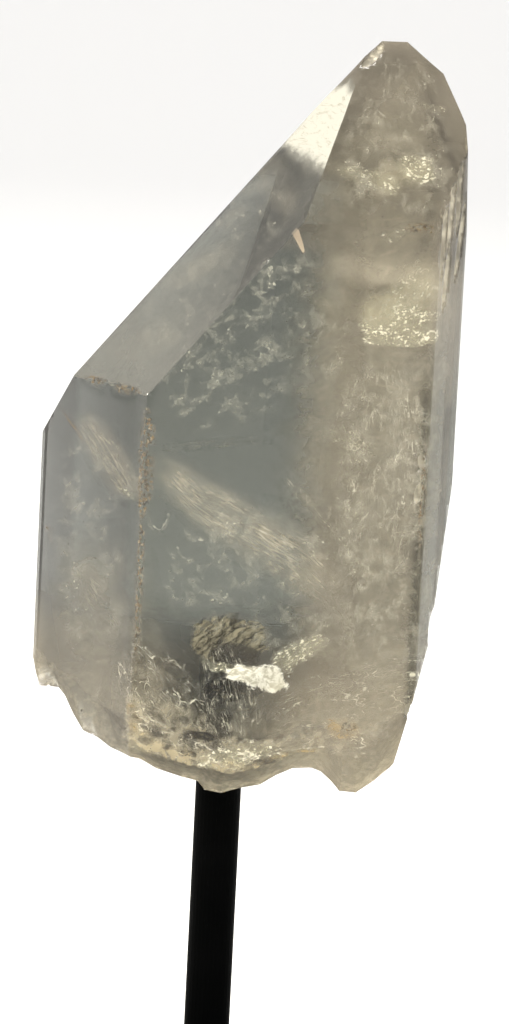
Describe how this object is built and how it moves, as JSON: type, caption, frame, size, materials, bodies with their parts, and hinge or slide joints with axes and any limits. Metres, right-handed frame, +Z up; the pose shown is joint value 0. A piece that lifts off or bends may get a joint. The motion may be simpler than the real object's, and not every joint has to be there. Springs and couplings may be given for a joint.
{
  "type": "quartz crystal",
  "caption": "Clear to milky quartz point with a broken base, drilled from below and held upright on a black round rod with a plain disc foot.",
  "frame": {"origin": "centre of the disc foot's underside, where it stands on the ground", "axes": "+Z up along the rod, -Y towards the crystal's broad front face, +X to the viewer's right"},
  "size_m": [0.11, 0.11, 0.2054],
  "materials": {
    "quartz": "natural crystal faces, glossy, with milky and veiled zones",
    "black_rod": "satin black",
    "black_base": "satin black"
  },
  "bodies": {
    "root": {"quartz_crystal": "quartz", "stand_rod": "black_rod", "stand_base": "black_base"}
  },
  "joints": []
}
